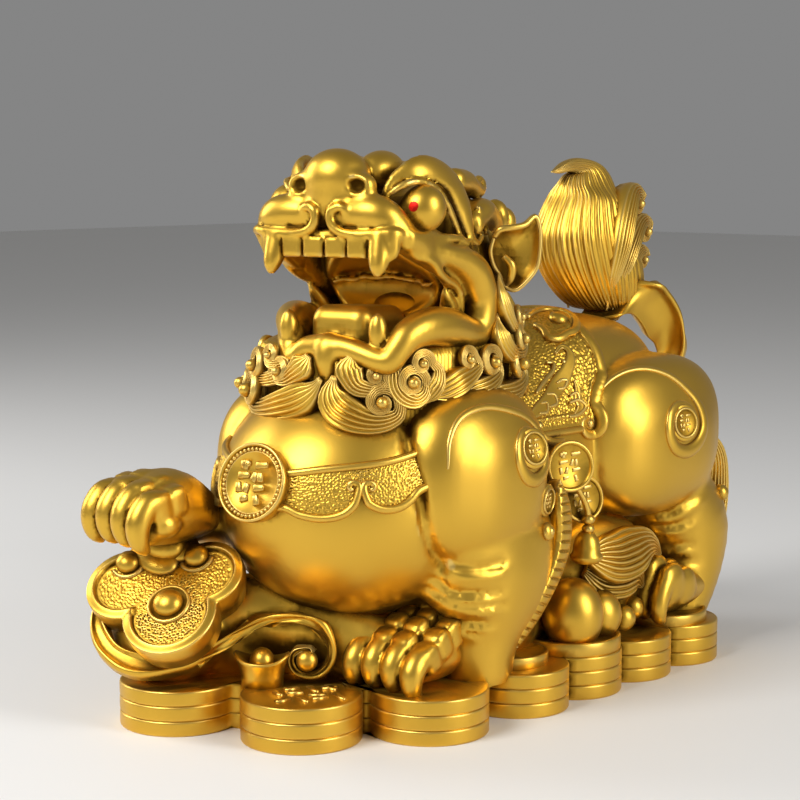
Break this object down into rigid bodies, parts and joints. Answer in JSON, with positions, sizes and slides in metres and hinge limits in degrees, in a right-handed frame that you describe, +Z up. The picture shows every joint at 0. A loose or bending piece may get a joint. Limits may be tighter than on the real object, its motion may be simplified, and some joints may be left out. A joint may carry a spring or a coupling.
{
  "type": "pixiu figure",
  "caption": "Cast brass pixiu, a horned lion-like beast with open jaws, curled mane and flame tail, striding on stacked coins with one forepaw raised over a ruyi head.",
  "frame": {"origin": "on the flat underside of the coin base, below the middle of the body", "axes": "+Z up, the beast faces -Y, its left side is +X"},
  "size_m": [0.198, 0.4238, 0.3143],
  "materials": {
    "brass": "satin polished brass, darker brown-olive in the recesses"
  },
  "bodies": {
    "root": {"pixiu": "brass"}
  },
  "joints": []
}
